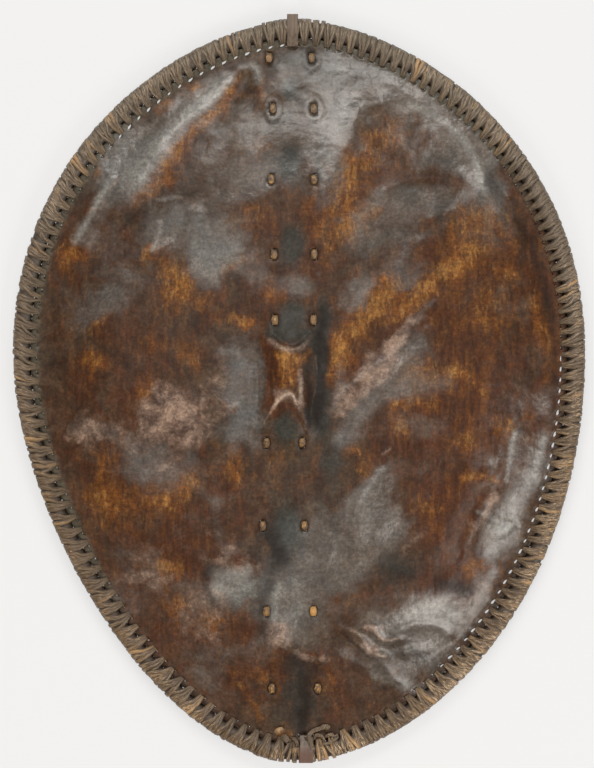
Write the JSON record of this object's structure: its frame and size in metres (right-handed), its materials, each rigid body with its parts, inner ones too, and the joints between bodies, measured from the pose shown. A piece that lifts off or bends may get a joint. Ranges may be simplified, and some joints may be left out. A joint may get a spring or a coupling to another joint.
{
  "type": "hide shield",
  "caption": "Pear-shaped rawhide shield lying face up: dished hide with a hand boss, laced to a wrapped wooden rim, with a wooden stave lashed down its back.",
  "frame": {"origin": "middle of the footprint, on the surface that the rim rests on", "axes": "+Y towards the shield's broad top, +X to the right as its front is seen, +Z out of its front"},
  "size_m": [0.7625, 1, 0.1045],
  "materials": {
    "hide": "dark brown rawhide, semi-gloss, rubbed to orange in patches, with a grey-blue bloom",
    "lacing": "greyish brown thong wrapped in strands, rubbed golden on its edges",
    "rod": "bare bent wood, dark with age",
    "stave": "hand-cut wood, smooth from handling",
    "thong": "golden brown rawhide thong"
  },
  "bodies": {
    "root": {"hide": "hide", "rim_lacing": "lacing", "rim_rod": "rod", "stave": "stave", "stave_lashing_1": "thong", "stave_lashing_2": "thong", "stave_lashing_3": "thong", "stave_lashing_4": "thong", "stave_lashing_5": "thong", "stave_lashing_6": "thong", "stave_lashing_7": "thong", "stave_lashing_8": "thong", "stave_lashing_9": "thong"}
  },
  "joints": []
}
